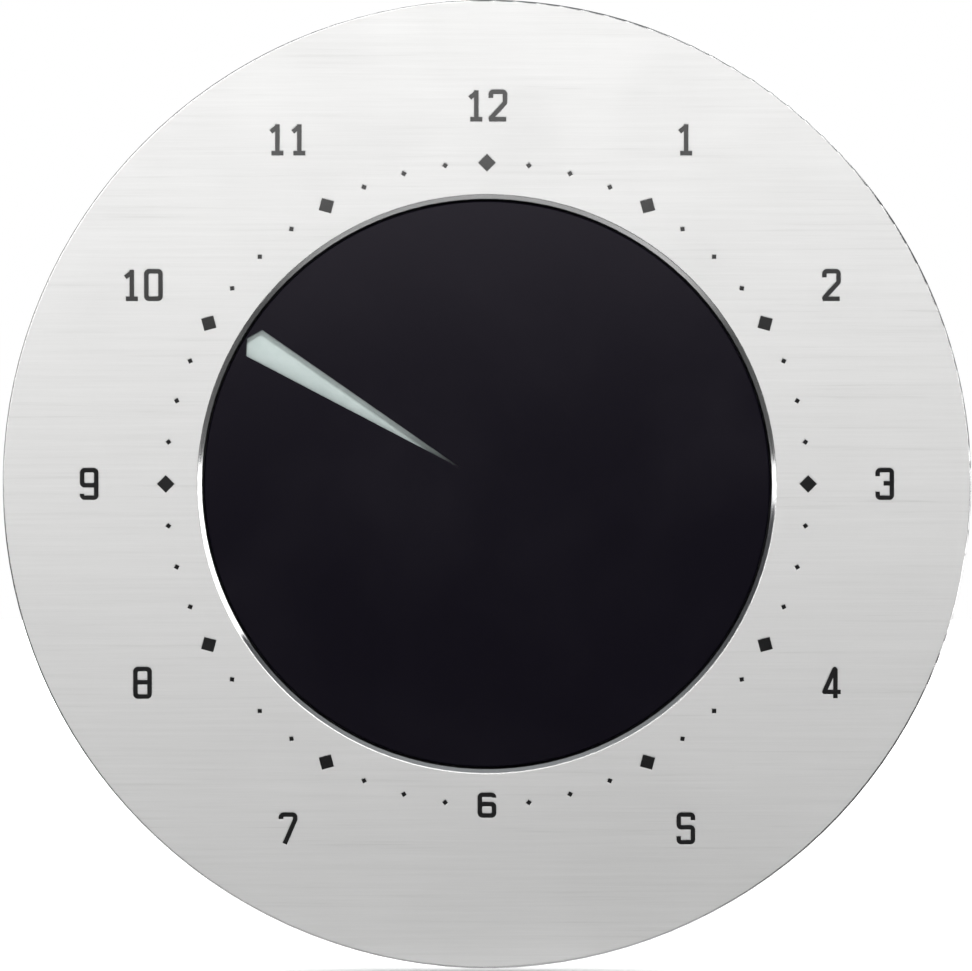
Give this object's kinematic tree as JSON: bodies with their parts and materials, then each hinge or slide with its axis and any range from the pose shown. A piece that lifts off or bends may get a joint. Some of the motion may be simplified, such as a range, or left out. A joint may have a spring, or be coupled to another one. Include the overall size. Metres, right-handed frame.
{
  "type": "electronic parking disc",
  "caption": "Round battery-driven parking-time display for a windscreen: brushed hour ring, black disc with a luminous hand, set button and twist-off battery cover behind.",
  "frame": {"origin": "centre of the hour ring's front face, on the disc's axis", "axes": "-Y out of the dial towards the reader outside the car, +Y to the driver's side, +Z to 12 o'clock, +X to 3 o'clock as read from outside"},
  "size_m": [0.1, 0.014, 0.1],
  "materials": {
    "brushed_plate": "fine straight brushing, left to right",
    "marking_ink": "baked black ink, slightly glossy",
    "adhesive_foam": "closed-cell foam tape",
    "housing_abs": "fine spark texture",
    "disc_black": "satin black, faint purple",
    "luminous_green": "pale green luminous",
    "ground_steel": "ground",
    "pom_white": "natural acetal",
    "pom_blue": "blue acetal",
    "bush_brass": "turned",
    "magnet_nickel": "nickel plated magnet",
    "stator_iron": "annealed soft iron",
    "bobbin_green": "glass-filled",
    "winding_copper": "enamelled copper wire",
    "tinned_pin": "tinned",
    "bridge_abs": "moulded grey",
    "zinc_screw": "zinc plated",
    "black_screw": "black oxide",
    "board_green": "solder mask",
    "chip_epoxy": "moulded epoxy",
    "crystal_can": "drawn can",
    "component_tan": "ceramic chips",
    "switch_body": "moulded nylon",
    "plunger_white": "moulded",
    "button_grey": "soft grey",
    "contact_spring": "nickel plated spring bronze",
    "cell_steel": "nickel plated can",
    "cell_seal": "polypropylene",
    "seal_rubber": "moulded silicone",
    "label_paper": "blank silver label"
  },
  "bodies": {
    "case": {"dial_plate": "brushed_plate", "dial_markings": "marking_ink", "plate_tape": "adhesive_foam", "front_housing": "housing_abs", "case_gasket": "seal_rubber", "axle_bush": "bush_brass", "stator_plate": "stator_iron", "coil_core": "stator_iron", "coil_bobbin": "bobbin_green", "coil_winding": "winding_copper", "coil_pins": "tinned_pin", "gear_bridge": "bridge_abs", "bridge_screws": "zinc_screw", "board_screws": "zinc_screw", "coil_screws": "zinc_screw", "case_screws": "black_screw", "circuit_board": "board_green", "control_chip": "chip_epoxy", "motion_sensor": "chip_epoxy", "clock_chip": "chip_epoxy", "chip_leads": "tinned_pin", "clock_crystal": "crystal_can", "small_components": "component_tan", "tact_switch": "switch_body", "coin_cell_can": "cell_steel", "coin_cell_cap": "cell_steel", "cell_gasket": "cell_seal", "negative_contact": "contact_spring", "positive_contact": "contact_spring", "cover_seal": "seal_rubber", "rear_shell": "housing_abs", "rear_label": "label_paper"},
    "disc_train": {"time_disc": "disc_black", "luminous_hand": "luminous_green", "disc_axle": "ground_steel", "disc_gear": "pom_white"},
    "idler": {"idler_wheel": "pom_white", "idler_pinion": "pom_blue", "idler_arbor": "ground_steel"},
    "rotor": {"motor_pinion": "pom_blue", "motor_arbor": "ground_steel", "rotor_magnet": "magnet_nickel"},
    "button": {"set_button": "button_grey"},
    "plunger": {"switch_plunger": "plunger_white"},
    "cover": {"battery_cover": "housing_abs"}
  },
  "joints": [
    {"name": "disc_spin", "type": "hinge", "parent": "case", "child": "disc_train", "pos_m": [0, 0, 0], "axis": [0, 1, 0], "continuous": true},
    {"name": "idler_spin", "type": "hinge", "parent": "case", "child": "idler", "pos_m": [0, 0, 0.012], "axis": [0, 1, 0], "continuous": true},
    {"name": "rotor_spin", "type": "hinge", "parent": "case", "child": "rotor", "pos_m": [0.00849, 0, 0.01817], "axis": [0, 1, 0], "continuous": true},
    {"name": "button_press", "type": "slide", "parent": "case", "child": "button", "axis": [0, -1, 0], "range_m": [0, 0.0004], "stiffness_N_per_m": 2000, "springref_m": -0.0002},
    {"name": "plunger_press", "type": "slide", "parent": "case", "child": "plunger", "axis": [0, -1, 0], "range_m": [0, 0.0004]},
    {"name": "cover_twist", "type": "hinge", "parent": "case", "child": "cover", "pos_m": [0, 0.0125, -0.0252], "axis": [0, 1, 0], "range_deg": [0, 40]}
  ],
  "couplings": [
    {"joint": "idler_spin", "follows": "disc_spin", "ratio": -4},
    {"joint": "rotor_spin", "follows": "disc_spin", "ratio": 24},
    {"joint": "plunger_press", "follows": "button_press", "ratio": 1}
  ]
}
